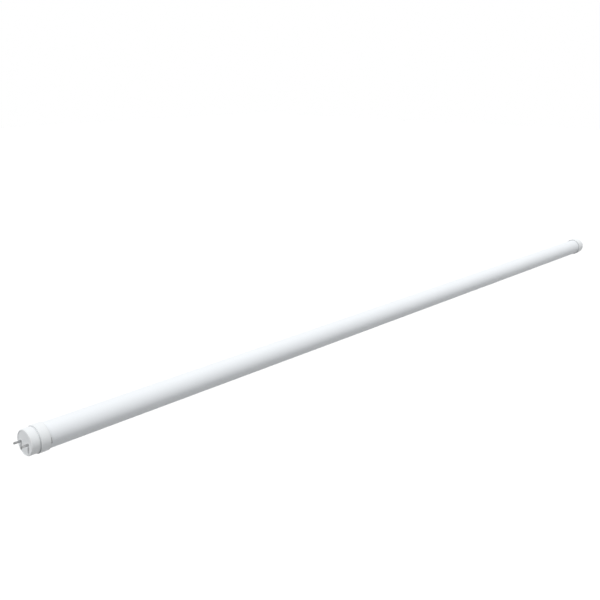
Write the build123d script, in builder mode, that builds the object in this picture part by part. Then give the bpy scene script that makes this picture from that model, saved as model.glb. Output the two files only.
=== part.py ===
from build123d import *
import math
import os

os.makedirs("parts", exist_ok=True)

# A straight lamp tube with a two-pin base at each end, in millimetres.
# The tube lies along X, its middle is the origin, the light side faces +Z and
# the pins of each base lie in the XY plane.
# A "depth" is a distance along X from the rim of an end cap into the lamp.

# Lamp
face_to_face = 1198.0
tube_diameter = 26.0
tube_wall = 0.8

# Two-pin base
pin_spacing = 12.7
pin_diameter = 2.35
pin_length = 7.5
pin_tip_rounding = 0.85
pin_neck_diameter = 2.0
pin_neck_clearance = 0.05
pin_rivet_diameter = 3.2
pin_rivet_thickness = 0.6

# End cap: a nose that enters the lamp holder, a groove, and a skirt that sleeves the tube
cap_nose_length = 10.0
cap_nose_wall = 1.4
cap_skirt_length = 10.0
cap_skirt_wall = 0.9
cap_skirt_step = 0.9
cap_groove_width = 1.0
cap_groove_depth = 0.7
cap_socket_clearance = 0.2
cap_stop_thickness = 1.0
cap_plate_thickness = 2.0
cap_field_recess = 0.4
cap_rim_width = 1.2
cap_rim_rounding = 1.0
cap_skirt_bevel = 0.2
cap_socket_lead_in = 0.3
cap_boss_diameter = 5.6
cap_boss_height = 2.6
cap_boss_web = 1.2
tube_end_gap = 0.2
cap_adhesive_length = 8.0

# Rails inside the nose that hold the driver board
rail_thickness = 1.0
rail_overlap = 1.0
rail_clearance = 0.1

# Driver board and its insulating sleeve
driver_board_start = 3.0
driver_board_length = 90.0
driver_board_thickness = 1.6
driver_board_top = -4.0
driver_board_corner = 1.0
driver_board_edge_clearance = 0.15
driver_tab_length = 9.0
sleeve_wall = 0.3
sleeve_clearance = 0.3

# LED board, glued to the bottom of the tube's bore
led_board_width = 10.0
led_board_thickness = 1.0
led_board_gap = 1.0
led_board_end_margin = 18.0
led_board_corner = 0.8
led_bond_film = 0.1
led_bond_inset = 0.3
led_pitch = 15.0
led_length = 3.5
led_width = 2.8
led_height = 0.7
led_row_margin = 6.0

# Stamped strips riveted under the pins: a tag down to the driver board on each
# near pin, and a link across the far pins
strip_thickness = 0.5
strip_eye_diameter = 4.5
tag_width = 2.5

# Square pins that carry the driver's output down to the LED board
header_pin_side = 0.64
header_pin_spacing = 5.08
header_pin_inset = 3.5
header_pin_above_board = 0.8

# Round leads of the driver's standing components, and the holes for all leads
lead_diameter = 0.6
lead_hole_clearance = 0.15
lead_below_board = 1.0
component_lift = 0.3

# Driver components, each placed by its depth in the near end
fuse_depth = 20.5
fuse_body = (2.6, 6.1, 2.6)
fuse_end_length = 1.3
fuse_end_step = 0.1
film_capacitor_depth = 27.5
film_capacitor_body = (5.0, 10.0, 9.0)
film_capacitor_bevel = 0.5
film_capacitor_lead_spacing = 7.5
choke_depth = 36.0
choke_diameter = 8.0
choke_waist_diameter = 4.4
choke_flange = 1.2
choke_height = 7.5
choke_winding_margin = 0.3
bulk_capacitor_depth = 47.0
bulk_capacitor_diameter = 10.0
bulk_capacitor_length = 12.5
bulk_capacitor_lead_spacing = 5.0
inductor_depth = 61.5
output_capacitor_depth = 75.0
output_capacitor_diameter = 8.0
output_capacitor_length = 11.5
output_capacitor_lead_spacing = 3.5
can_bevel = 0.5
can_groove_height = 2.0
can_groove_width = 0.8
can_groove_depth = 0.4

# Inductor: a pair of E cores through a bobbin, with the winding axis along X
core_width = 13.0
core_height = 6.0
core_half_length = 6.5
core_back = 1.9
core_outer_leg = 1.5
core_centre_leg = 2.8
bobbin_clearance = 0.1
bobbin_wall = 0.6
bobbin_flange = 0.8
bobbin_height = 10.0
bobbin_side_gap = 0.2
winding_gap = 0.5
winding_corner = 1.6
inductor_pin_side = 0.6
inductor_pin_spacing = 5.0

# Surface-mounted packages on the driver board's underside
package_leg_thickness = 0.2
package_standoff = 0.1
package_bevel = 0.2
bridge_depth = 20.5
bridge_body = (4.7, 3.9, 1.5)
bridge_span = 6.2
bridge_leg_pitch = 2.5
bridge_leg_width = 0.7
chip_depth = 53.5
chip_body = (4.9, 3.9, 1.45)
chip_span = 6.0
chip_leg_pitch = 1.27
chip_leg_width = 0.42
diode_depth = 68.5
diode_body = (2.6, 4.3, 2.1)
diode_tab_width = 1.5
diode_tab_thickness = 0.15
resistor_depth = 53.5
resistor_body = (3.2, 1.6, 0.6)
resistor_rows = 3
resistor_row_pitch = 8.0
resistor_column_pitch = 13.0

# Radii and places that follow from the sizes above
tube_radius = tube_diameter / 2
tube_bore = tube_radius - tube_wall
socket_radius = tube_radius + cap_socket_clearance
skirt_radius = socket_radius + cap_skirt_wall
nose_radius = skirt_radius - cap_skirt_step
nose_bore = nose_radius - cap_nose_wall
groove_radius = nose_radius - cap_groove_depth
rim_inner_radius = nose_radius - cap_rim_width
cap_length = cap_nose_length + cap_skirt_length
stop_depth = cap_nose_length + cap_stop_thickness
plate_depth = cap_field_recess + cap_plate_thickness
boss_depth = plate_depth + cap_boss_height
tube_start = stop_depth + tube_end_gap
rivet_depth = boss_depth + strip_thickness
pin_end = rivet_depth + pin_rivet_thickness
pin_hole_radius = pin_neck_diameter / 2 + pin_neck_clearance
sleeve_radius = tube_bore - sleeve_clearance
sleeve_bore = sleeve_radius - sleeve_wall
driver_board_under = driver_board_top - driver_board_thickness
driver_board_width = 2 * (math.sqrt(sleeve_bore**2 - driver_board_under**2) - driver_board_edge_clearance)
driver_board_end = driver_board_start + driver_board_length
sleeve_start = tube_start + sleeve_clearance
sleeve_end = driver_board_end - driver_tab_length
led_board_start = sleeve_end + led_board_gap
led_board_end = face_to_face - led_board_end_margin
led_board_under = -math.sqrt((tube_bore - led_bond_film) ** 2 - (led_board_width / 2) ** 2)
led_board_top = led_board_under + led_board_thickness
component_seat = driver_board_top + component_lift


def at_depth(depth):
    """X of a place this deep in the near end."""
    return depth - face_to_face / 2


def rounded_corner(start, corner, end):
    """Three points that round a square corner of an outline off in two flats."""
    inward = 1 - math.sqrt(0.5)
    middle_x = corner[0] + (start[0] + end[0] - 2 * corner[0]) * inward
    middle_y = corner[1] + (start[1] + end[1] - 2 * corner[1]) * inward
    return [start, (middle_x, middle_y), end]


def cross_section(depth):
    """Plane across the lamp at a depth, with the sketch's x along Y and its y along Z."""
    return Plane.YZ.offset(at_depth(depth))


def lengthwise_plane(offset):
    """Plane along the lamp at a distance to the side, with the sketch's y along Z."""
    return Plane.XZ.offset(-offset)


def save(piece, name):
    """Label a finished piece and write it under the same name."""
    piece.label = name
    export_step(piece, f"parts/{name}.step")


def save_both_ends(piece, name):
    """Write a piece of the near end, and its mirror image for the far end."""
    save(piece, f"near_{name}")
    save(mirror(piece, about=Plane.YZ), f"far_{name}")


# Opal tube
with BuildPart() as diffuser_tube:
    with BuildSketch(cross_section(tube_start)):
        Circle(tube_radius)
        Circle(tube_bore, mode=Mode.SUBTRACT)
    extrude(amount=face_to_face - 2 * tube_start)
save(diffuser_tube.part, "diffuser_tube")

# End cap: one moulding, turned about the lamp's axis
with BuildPart() as end_cap:
    with BuildSketch(Plane.XZ):
        with BuildLine():
            Polyline(
                (at_depth(cap_field_recess), 0),
                (at_depth(cap_field_recess), rim_inner_radius),
                (at_depth(0), rim_inner_radius),
                *rounded_corner(
                    (at_depth(0), nose_radius - cap_rim_rounding),
                    (at_depth(0), nose_radius),
                    (at_depth(cap_rim_rounding), nose_radius),
                ),
                (at_depth(cap_nose_length - cap_groove_width), nose_radius),
                (at_depth(cap_nose_length - cap_groove_width), groove_radius),
                (at_depth(cap_nose_length), groove_radius),
                (at_depth(cap_nose_length), skirt_radius),
                (at_depth(cap_length), skirt_radius),
                (at_depth(cap_length), socket_radius),
                (at_depth(stop_depth), socket_radius),
                (at_depth(stop_depth), nose_bore),
                (at_depth(plate_depth), nose_bore),
                (at_depth(plate_depth), 0),
                close=True,
            )
        make_face()
    revolve(axis=Axis.X)

    # Bevel on the skirt's front edge, and the lead-in of its socket
    rings = end_cap.edges().filter_by(GeomType.CIRCLE)
    chamfer(rings.group_by(SortBy.RADIUS)[-1].sort_by(Axis.X)[0], cap_skirt_bevel)
    chamfer(rings.group_by(Axis.X)[-1].sort_by(SortBy.RADIUS)[0], cap_socket_lead_in)

    # Pin bosses, joined by a web, on the inner side of the end plate
    with BuildSketch(cross_section(plate_depth)):
        with GridLocations(pin_spacing, 0, 2, 1):
            Circle(cap_boss_diameter / 2)
        Rectangle(pin_spacing, cap_boss_web)
    extrude(amount=cap_boss_height)
    with Locations(cross_section(boss_depth)):
        with GridLocations(pin_spacing, 0, 2, 1):
            Hole(pin_hole_radius)

    # Two pairs of rails that take the long edges of the driver board
    rail_reach = nose_bore - driver_board_width / 2 + rail_overlap
    with BuildSketch(cross_section(plate_depth)):
        for side in (-1, 1):
            for rail_z in (
                driver_board_top + rail_clearance + rail_thickness / 2,
                driver_board_under - rail_clearance - rail_thickness / 2,
            ):
                with Locations((side * (nose_bore - rail_reach / 2), rail_z)):
                    Rectangle(rail_reach, rail_thickness)
        Circle(nose_bore + cap_nose_wall / 2, mode=Mode.INTERSECT)
    extrude(amount=stop_depth - plate_depth)
save_both_ends(end_cap.part, "end_cap")

# Adhesive rings between the caps' sockets and the tube
with BuildPart() as cap_adhesive:
    with BuildSketch(cross_section(tube_start + tube_end_gap)):
        Circle(socket_radius)
        Circle(tube_radius, mode=Mode.SUBTRACT)
    extrude(amount=cap_adhesive_length)
    mirror(about=Plane.YZ)
save(cap_adhesive.part, "cap_adhesive")

# Contact pins: a round tip, a shoulder on the end plate, and a neck riveted over a strip
for side, hand in ((-1, "front"), (1, "rear")):
    pin_y = side * pin_spacing / 2
    with BuildPart() as pin:
        with BuildSketch(lengthwise_plane(pin_y)):
            with BuildLine():
                Polyline(
                    (at_depth(-pin_length), 0),
                    *rounded_corner(
                        (at_depth(-pin_length), pin_diameter / 2 - pin_tip_rounding),
                        (at_depth(-pin_length), pin_diameter / 2),
                        (at_depth(pin_tip_rounding - pin_length), pin_diameter / 2),
                    ),
                    (at_depth(cap_field_recess), pin_diameter / 2),
                    (at_depth(cap_field_recess), pin_neck_diameter / 2),
                    (at_depth(rivet_depth), pin_neck_diameter / 2),
                    (at_depth(rivet_depth), pin_rivet_diameter / 2),
                    (at_depth(pin_end), pin_rivet_diameter / 2),
                    (at_depth(pin_end), 0),
                    close=True,
                )
            make_face()
        revolve(axis=Axis((0, pin_y, 0), (1, 0, 0)))
    save_both_ends(pin.part, f"{hand}_pin")

# LED board on its bed of adhesive
with BuildPart() as led_board:
    with BuildSketch(Plane.XY.offset(led_board_under)):
        with Locations((at_depth((led_board_start + led_board_end) / 2), 0)):
            RectangleRounded(led_board_end - led_board_start, led_board_width, led_board_corner)
    extrude(amount=led_board_thickness)
save(led_board.part, "led_board")

with BuildPart() as led_board_adhesive:
    with BuildSketch(cross_section(led_board_start + led_board_corner)):
        Circle(tube_bore)
        with Locations((0, led_board_under)):
            Rectangle(
                led_board_width - 2 * led_bond_inset,
                tube_bore,
                align=(Align.CENTER, Align.MAX),
                mode=Mode.INTERSECT,
            )
    extrude(amount=led_board_end - led_board_start - 2 * led_board_corner)
save(led_board_adhesive.part, "led_board_adhesive")

# LED packages in one row, from past the driver board to near the board's end
led_row_start = driver_board_end + led_row_margin
led_row_end = led_board_end - led_row_margin
led_count = int((led_row_end - led_row_start) // led_pitch) + 1
with BuildPart() as led_packages:
    with Locations((at_depth((led_row_start + led_row_end) / 2), 0, led_board_top)):
        with GridLocations(led_pitch, 0, led_count, 1):
            Box(led_length, led_width, led_height, align=(Align.CENTER, Align.CENTER, Align.MIN))
save(led_packages.part, "led_packages")

# Insulating sleeve round the driver
with BuildPart() as driver_sleeve:
    with BuildSketch(cross_section(sleeve_start)):
        Circle(sleeve_radius)
        Circle(sleeve_bore, mode=Mode.SUBTRACT)
    extrude(amount=sleeve_end - sleeve_start)
save(driver_sleeve.part, "driver_sleeve")

# Terminal tags: an eye under each near pin's rivet, and a tab down through the driver board
tag_drop = lead_below_board - driver_board_under
for side, name in ((-1, "live_terminal_tag"), (1, "neutral_terminal_tag")):
    with BuildPart() as terminal_tag:
        with BuildSketch(cross_section(boss_depth)):
            with Locations((side * pin_spacing / 2, 0)):
                Circle(strip_eye_diameter / 2)
                Rectangle(tag_width, tag_drop, align=(Align.CENTER, Align.MAX))
                Circle(pin_hole_radius, mode=Mode.SUBTRACT)
        extrude(amount=strip_thickness)
    save(terminal_tag.part, name)

# Link strip that joins the far pins under their rivets
with BuildPart() as pin_link:
    with BuildSketch(cross_section(boss_depth)):
        SlotCenterToCenter(pin_spacing, strip_eye_diameter)
        with GridLocations(pin_spacing, 0, 2, 1):
            Circle(pin_hole_radius, mode=Mode.SUBTRACT)
    extrude(amount=strip_thickness)
save(mirror(pin_link.part, about=Plane.YZ), "far_pin_link")


def pair_across(depth, spacing):
    """Two places on the board, side by side across the lamp."""
    return [(at_depth(depth), -spacing / 2), (at_depth(depth), spacing / 2)]


def round_leads(places, top):
    """Leads that stand at these places, from below the board up to a height."""
    with BuildPart() as leads:
        with BuildSketch(Plane.XY.offset(driver_board_under - lead_below_board)):
            with Locations(*places):
                Circle(lead_diameter / 2)
        extrude(amount=top - driver_board_under + lead_below_board)
    return leads.part


def standing_capacitor(depth, diameter, length, places):
    """Electrolytic capacitor on end: can with a bevelled top and a groove, and two leads."""
    can_radius = diameter / 2
    leads = round_leads(places, component_seat)
    groove_low = component_seat + can_groove_height
    groove_high = groove_low + can_groove_width
    groove_middle = (groove_low + groove_high) / 2
    with BuildPart() as capacitor:
        with BuildSketch(Plane.XZ):
            with BuildLine():
                Polyline(
                    (at_depth(depth), component_seat),
                    (at_depth(depth) + can_radius, component_seat),
                    (at_depth(depth) + can_radius, groove_low),
                    (at_depth(depth) + can_radius - can_groove_depth, groove_middle),
                    (at_depth(depth) + can_radius, groove_high),
                    (at_depth(depth) + can_radius, component_seat + length - can_bevel),
                    (at_depth(depth) + can_radius - can_bevel, component_seat + length),
                    (at_depth(depth), component_seat + length),
                    close=True,
                )
            make_face()
        revolve(axis=Axis((at_depth(depth), 0, 0), (0, 0, 1)))
        add(leads)
    return capacitor.part


# Where the leads of the standing components go through the board
film_places = pair_across(film_capacitor_depth, film_capacitor_lead_spacing)
bulk_places = pair_across(bulk_capacitor_depth, bulk_capacitor_lead_spacing)
output_places = pair_across(output_capacitor_depth, output_capacitor_lead_spacing)
header_places = pair_across(driver_board_end - header_pin_inset, header_pin_spacing)
inductor_x = at_depth(inductor_depth)
bobbin_length = 2 * (core_half_length - core_back - bobbin_clearance)
inductor_pin_row = bobbin_length - bobbin_flange

# Driver board, with round holes for the leads and square ones for the pins and tags
header_hole_side = header_pin_side + 2 * lead_hole_clearance
inductor_hole_side = inductor_pin_side + 2 * lead_hole_clearance
tag_slot_length = strip_thickness + 2 * lead_hole_clearance
tag_slot_width = tag_width + 2 * lead_hole_clearance
tag_places = pair_across(boss_depth + strip_thickness / 2, pin_spacing)
with BuildPart() as driver_board:
    with BuildSketch(Plane((at_depth((driver_board_start + driver_board_end) / 2), 0, driver_board_under))):
        RectangleRounded(driver_board_length, driver_board_width, driver_board_corner)
    extrude(amount=driver_board_thickness)
    with BuildSketch(Plane.XY.offset(driver_board_under)):
        with Locations(*film_places, *bulk_places, *output_places):
            Circle(lead_diameter / 2 + lead_hole_clearance)
        with Locations(*header_places):
            Rectangle(header_hole_side, header_hole_side)
        with Locations(*tag_places):
            Rectangle(tag_slot_length, tag_slot_width)
        with Locations((inductor_x, 0)):
            with GridLocations(inductor_pin_row, inductor_pin_spacing, 2, 2):
                Rectangle(inductor_hole_side, inductor_hole_side)
    extrude(amount=driver_board_thickness, mode=Mode.SUBTRACT)
save(driver_board.part, "driver_board")

# Pins that carry the output from the driver board down to the LED board
with BuildPart() as output_header_pins:
    with BuildSketch(Plane.XY.offset(led_board_top)):
        with Locations(*header_places):
            Rectangle(header_pin_side, header_pin_side)
    extrude(amount=driver_board_top + header_pin_above_board - led_board_top)
save(output_header_pins.part, "output_header_pins")

# Square-bodied fuse with a metal cap on each end
with BuildPart() as input_fuse:
    with Locations((at_depth(fuse_depth), 0, driver_board_top + fuse_end_step)):
        Box(*fuse_body, align=(Align.CENTER, Align.CENTER, Align.MIN))
    fuse_end = (fuse_body[0] + 2 * fuse_end_step, fuse_end_length, fuse_body[2] + 2 * fuse_end_step)
    with Locations((at_depth(fuse_depth), 0, driver_board_top)):
        with GridLocations(0, fuse_body[1] - fuse_end_length, 1, 2):
            Box(*fuse_end, align=(Align.CENTER, Align.CENTER, Align.MIN))
save(input_fuse.part, "input_fuse")

# Film capacitor: moulded block
film_leads = round_leads(film_places, component_seat + film_capacitor_bevel)
with BuildPart() as film_capacitor:
    with Locations((at_depth(film_capacitor_depth), 0, component_seat)):
        Box(*film_capacitor_body, align=(Align.CENTER, Align.CENTER, Align.MIN))
    block_foot = film_capacitor.faces().sort_by(Axis.Z)[0].edges()
    chamfer(film_capacitor.edges() - block_foot, film_capacitor_bevel)
    add(film_leads)
save(film_capacitor.part, "film_capacitor")

# Filter choke: drum core on end, and the winding in its waist
choke_base = Plane((at_depth(choke_depth), 0, driver_board_top))
with BuildPart() as filter_choke_core:
    with BuildSketch(choke_base):
        Circle(choke_diameter / 2)
    extrude(amount=choke_height)
    with BuildSketch(choke_base.offset(choke_flange)):
        Circle(choke_diameter / 2)
        Circle(choke_waist_diameter / 2, mode=Mode.SUBTRACT)
    extrude(amount=choke_height - 2 * choke_flange, mode=Mode.SUBTRACT)
save(filter_choke_core.part, "filter_choke_core")

with BuildPart() as filter_choke_winding:
    with BuildSketch(choke_base.offset(choke_flange)):
        Circle(choke_diameter / 2 - choke_winding_margin)
        Circle(choke_waist_diameter / 2, mode=Mode.SUBTRACT)
    extrude(amount=choke_height - 2 * choke_flange)
save(filter_choke_winding.part, "filter_choke_winding")

# Capacitors before and after the inductor
bulk_capacitor = standing_capacitor(
    bulk_capacitor_depth, bulk_capacitor_diameter, bulk_capacitor_length, bulk_places
)
save(bulk_capacitor, "bulk_capacitor")
output_capacitor = standing_capacitor(
    output_capacitor_depth, output_capacitor_diameter, output_capacitor_length, output_places
)
save(output_capacitor, "output_capacitor")

# Power inductor: two E cores whose legs meet inside the bobbin
inductor_height = component_seat + bobbin_height / 2
core_window = (core_width - core_centre_leg) / 2 - core_outer_leg
with BuildPart() as inductor_cores:
    with BuildSketch(Plane((inductor_x, 0, inductor_height - core_height / 2))):
        Rectangle(2 * core_half_length, core_width)
        with GridLocations(0, core_centre_leg + core_window, 1, 2):
            Rectangle(2 * (core_half_length - core_back), core_window, mode=Mode.SUBTRACT)
    extrude(amount=core_height)
    split(bisect_by=Plane.YZ.offset(inductor_x), keep=Keep.BOTH)
save(inductor_cores.part, "inductor_cores")

# Bobbin: square tube round the centre leg, with a flange at each end
bobbin_bore_width = core_centre_leg + 2 * bobbin_clearance
bobbin_bore_height = core_height + 2 * bobbin_clearance
bobbin_width = core_width - 2 * core_outer_leg - 2 * bobbin_side_gap
bobbin_plane = Plane((inductor_x - bobbin_length / 2, 0, inductor_height), x_dir=(0, 1, 0), z_dir=(1, 0, 0))
with BuildPart() as inductor_bobbin:
    with BuildSketch(bobbin_plane):
        Rectangle(bobbin_bore_width + 2 * bobbin_wall, bobbin_bore_height + 2 * bobbin_wall)
    extrude(amount=bobbin_length)
    for flange_start in (0, bobbin_length - bobbin_flange):
        with BuildSketch(bobbin_plane.offset(flange_start)):
            Rectangle(bobbin_width, bobbin_height)
        extrude(amount=bobbin_flange)
    with BuildSketch(bobbin_plane):
        Rectangle(bobbin_bore_width, bobbin_bore_height)
    extrude(amount=bobbin_length, mode=Mode.SUBTRACT)
save(inductor_bobbin.part, "inductor_bobbin")

with BuildPart() as inductor_winding:
    with BuildSketch(bobbin_plane.offset(bobbin_flange)):
        RectangleRounded(bobbin_width - winding_gap, bobbin_height - winding_gap, winding_corner)
        Rectangle(
            bobbin_bore_width + 2 * bobbin_wall,
            bobbin_bore_height + 2 * bobbin_wall,
            mode=Mode.SUBTRACT,
        )
    extrude(amount=bobbin_length - 2 * bobbin_flange)
save(inductor_winding.part, "inductor_winding")

# Pins under the bobbin's flanges, through the board
with BuildPart() as inductor_pins:
    with BuildSketch(Plane((inductor_x, 0, driver_board_under - lead_below_board))):
        with GridLocations(inductor_pin_row, inductor_pin_spacing, 2, 2):
            Rectangle(inductor_pin_side, inductor_pin_side)
    extrude(amount=component_seat - driver_board_under + lead_below_board)
save(inductor_pins.part, "inductor_pins")


def underside(depth):
    """Plane on the driver board's underside, facing away from the board."""
    return Plane((at_depth(depth), 0, driver_board_under), z_dir=(0, 0, -1))


def gull_wing_package(body, span, leg_pitch, leg_width, legs_a_side):
    """Package that stands on the XY plane on folded legs along its two long sides."""
    length, width, height = body
    foot = (span - width) / 4
    leg_top = package_standoff + height / 2
    with BuildPart() as leg:
        with BuildSketch(Plane.YZ.offset(-leg_width / 2)):
            with BuildLine() as leg_line:
                Polyline(
                    (width / 2 - foot, leg_top),
                    (width / 2 + foot, leg_top),
                    (span / 2 - foot, package_leg_thickness / 2),
                    (span / 2, package_leg_thickness / 2),
                )
            trace(leg_line.line, package_leg_thickness)
        extrude(amount=leg_width)
    with BuildPart() as package:
        with Locations((0, 0, package_standoff)):
            Box(length, width, height, align=(Align.CENTER, Align.CENTER, Align.MIN))
        chamfer(package.faces().sort_by(Axis.Z)[-1].edges(), package_bevel)
        with GridLocations(leg_pitch, 0, legs_a_side, 1):
            add(leg.part)
        mirror(about=Plane.XZ)
    return package.part


# Bridge rectifier and driver chip
bridge_package = gull_wing_package(bridge_body, bridge_span, bridge_leg_pitch, bridge_leg_width, 2)
with BuildPart() as bridge_rectifier:
    with Locations(underside(bridge_depth)):
        add(bridge_package)
save(bridge_rectifier.part, "bridge_rectifier")

chip_package = gull_wing_package(chip_body, chip_span, chip_leg_pitch, chip_leg_width, 4)
with BuildPart() as driver_chip:
    with Locations(underside(chip_depth)):
        add(chip_package)
save(driver_chip.part, "driver_chip")

# Freewheel diode: bevelled block with a tab folded under each end
with BuildPart() as freewheel_diode:
    with Locations(underside(diode_depth)):
        with Locations((0, 0, diode_tab_thickness)):
            Box(*diode_body, align=(Align.CENTER, Align.CENTER, Align.MIN))
        with GridLocations(0, diode_body[1] - diode_tab_width, 1, 2):
            Box(
                diode_tab_width,
                diode_tab_width,
                diode_tab_thickness,
                align=(Align.CENTER, Align.CENTER, Align.MIN),
            )
    chamfer(freewheel_diode.faces().sort_by(Axis.Z)[0].edges(), package_bevel)
save(freewheel_diode.part, "freewheel_diode")

# Chip resistors in two columns beside the chip
with BuildPart() as chip_resistors:
    with Locations(underside(resistor_depth)):
        with GridLocations(resistor_row_pitch, resistor_column_pitch, resistor_rows, 2):
            Box(*resistor_body, align=(Align.CENTER, Align.CENTER, Align.MIN))
save(chip_resistors.part, "chip_resistors")
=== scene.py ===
import math

import bpy
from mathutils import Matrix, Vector


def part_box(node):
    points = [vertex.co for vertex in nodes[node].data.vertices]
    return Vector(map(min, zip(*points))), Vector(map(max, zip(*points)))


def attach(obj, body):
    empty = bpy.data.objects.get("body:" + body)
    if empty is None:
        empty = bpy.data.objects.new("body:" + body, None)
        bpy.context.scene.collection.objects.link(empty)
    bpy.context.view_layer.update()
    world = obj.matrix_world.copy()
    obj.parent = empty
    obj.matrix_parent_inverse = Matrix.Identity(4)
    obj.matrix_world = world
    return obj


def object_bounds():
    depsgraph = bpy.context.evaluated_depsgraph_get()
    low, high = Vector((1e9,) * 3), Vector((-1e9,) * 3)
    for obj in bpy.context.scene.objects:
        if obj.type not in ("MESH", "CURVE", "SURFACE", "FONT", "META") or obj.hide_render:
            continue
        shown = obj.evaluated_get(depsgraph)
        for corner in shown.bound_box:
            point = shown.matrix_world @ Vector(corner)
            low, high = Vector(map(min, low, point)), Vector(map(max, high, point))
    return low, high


# A tubular LED lamp with a two-pin cap at each end, hung level over a pale floor.
# X runs from the near end to the far end, the light side faces +Z,
# and the camera stands on the -Y side.

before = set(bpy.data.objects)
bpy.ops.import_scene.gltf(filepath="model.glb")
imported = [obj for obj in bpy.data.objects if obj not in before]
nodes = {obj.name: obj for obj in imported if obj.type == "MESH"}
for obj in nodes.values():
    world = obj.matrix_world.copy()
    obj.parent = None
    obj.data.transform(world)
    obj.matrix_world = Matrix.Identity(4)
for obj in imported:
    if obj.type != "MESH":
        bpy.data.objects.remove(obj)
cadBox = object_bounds()
print("frame loaded:", len(nodes), "nodes")

mm = 0.001


# building blocks of the node trees; places are Object coordinates in metres

def calc(tree, operation, first, second=None):
    node = tree.nodes.new("ShaderNodeMath")
    node.operation = operation
    for socket, value in zip(node.inputs, (first, second)):
        if isinstance(value, (int, float)):
            socket.default_value = value
        elif value is not None:
            tree.links.new(value, socket)
    return node.outputs[0]


def times(tree, first, second):
    return calc(tree, "MULTIPLY", first, second)


def minus(tree, first, second):
    return calc(tree, "SUBTRACT", first, second)


def above(tree, value, limit):
    return calc(tree, "GREATER_THAN", value, limit)


def below(tree, value, limit):
    return calc(tree, "LESS_THAN", value, limit)


def addRange(tree, value, low, high, start=0.0, end=1.0):
    spread = tree.nodes.new("ShaderNodeMapRange")
    numbers = {"From Min": start, "From Max": end, "To Min": low, "To Max": high}
    for label, number in numbers.items():
        spread.inputs[label].default_value = number
    tree.links.new(value, spread.inputs["Value"])
    return spread.outputs["Result"]


def newFinish(name, metallic=0.0, specular=0.5):
    finish = bpy.data.materials.new(name)
    finish.use_nodes = True
    tree = finish.node_tree
    shader = tree.nodes["Principled BSDF"]
    shader.inputs["Metallic"].default_value = metallic
    shader.inputs["Specular IOR Level"].default_value = specular
    return finish, tree, shader


def setCoat(tree, shader, colour, roughness):
    tree.links.new(colour, shader.inputs["Base Color"])
    tree.links.new(roughness, shader.inputs["Roughness"])


def objectPlace(tree, stretch=(1, 1, 1)):
    coords = tree.nodes.new("ShaderNodeTexCoord")
    mapping = tree.nodes.new("ShaderNodeMapping")
    mapping.inputs["Scale"].default_value = stretch
    tree.links.new(coords.outputs["Object"], mapping.inputs["Vector"])
    return mapping.outputs["Vector"]


def splitAxes(tree):
    axes = tree.nodes.new("ShaderNodeSeparateXYZ")
    tree.links.new(objectPlace(tree), axes.inputs[0])
    return axes.outputs


def addNoise(tree, place, scale, detail=4.0, roughness=0.55):
    noise = tree.nodes.new("ShaderNodeTexNoise")
    noise.inputs["Scale"].default_value = scale
    noise.inputs["Detail"].default_value = detail
    noise.inputs["Roughness"].default_value = roughness
    tree.links.new(place, noise.inputs["Vector"])
    return noise.outputs["Fac"]


rampStops = (0.3, 0.7)    # noise seldom leaves this stretch, so the two tones stand at its ends


def addRamp(tree, value, dark, pale):
    ramp = tree.nodes.new("ShaderNodeValToRGB")
    for element, place, colour in zip(ramp.color_ramp.elements, rampStops, (dark, pale)):
        element.position = place
        element.color = (*colour, 1)
    tree.links.new(value, ramp.inputs["Fac"])
    return ramp.outputs["Color"]


def mixColour(tree, mask, under, over):
    mix = tree.nodes.new("ShaderNodeMix")
    mix.data_type = "RGBA"
    tree.links.new(mask, mix.inputs["Factor"])
    for socket, colour in ((mix.inputs["A"], under), (mix.inputs["B"], over)):
        if isinstance(colour, tuple):
            socket.default_value = (*colour, 1)
        else:
            tree.links.new(colour, socket)
    return mix.outputs["Result"]


def addBump(tree, shader, height, distance, strength=0.5):
    bump = tree.nodes.new("ShaderNodeBump")
    bump.inputs["Distance"].default_value = distance
    bump.inputs["Strength"].default_value = strength
    tree.links.new(height, bump.inputs["Height"])
    tree.links.new(bump.outputs["Normal"], shader.inputs["Normal"])


def nearEdge(tree, value, place, reach):
    # 1 on an edge at this place, falling to 0 at its reach
    distance = calc(tree, "ABSOLUTE", minus(tree, value, place))
    return addRange(tree, distance, 1.0, 0.0, 0.0, reach)


def distanceFrom(tree, first, second):
    # distance from an axis, of which these are the two coordinates across
    squares = calc(tree, "ADD", times(tree, first, first), times(tree, second, second))
    return calc(tree, "SQRT", squares)


def beyond(tree, value, place, limit, pitch=None):
    # 1 further than the limit from a place, or from the nearest of a row of places
    offset = minus(tree, value, place)
    if pitch:
        turns = calc(tree, "FRACT", calc(tree, "ADD", calc(tree, "DIVIDE", offset, pitch), 0.5))
        offset = times(tree, minus(tree, turns, 0.5), pitch)
    return above(tree, calc(tree, "ABSOLUTE", offset), limit)


roughSpread = 0.15    # share by which a plain finish is rougher or smoother from spot to spot


def spreadRough(tree, grain, roughness):
    return addRange(tree, grain, roughness * (1 - roughSpread), roughness * (1 + roughSpread))


def speckled(name, coat):
    finish, tree, shader = newFinish(name, coat.get("metallic", 0.0))
    grain = addNoise(tree, objectPlace(tree), coat["scale"])
    tone = addRamp(tree, grain, coat["dark"], coat["pale"])
    setCoat(tree, shader, tone, spreadRough(tree, grain, coat["roughness"]))
    addBump(tree, shader, grain, coat.get("depth", 0.03 * mm))
    return finish


tin = {
    "dark": (0.60, 0.60, 0.59),
    "pale": (0.74, 0.74, 0.73),
    "roughness": 0.34,
    "leadRoughness": 0.32,    # of the ends and legs of components
    "scale": 900.0,
    "metallic": 1.0,
}


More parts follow.
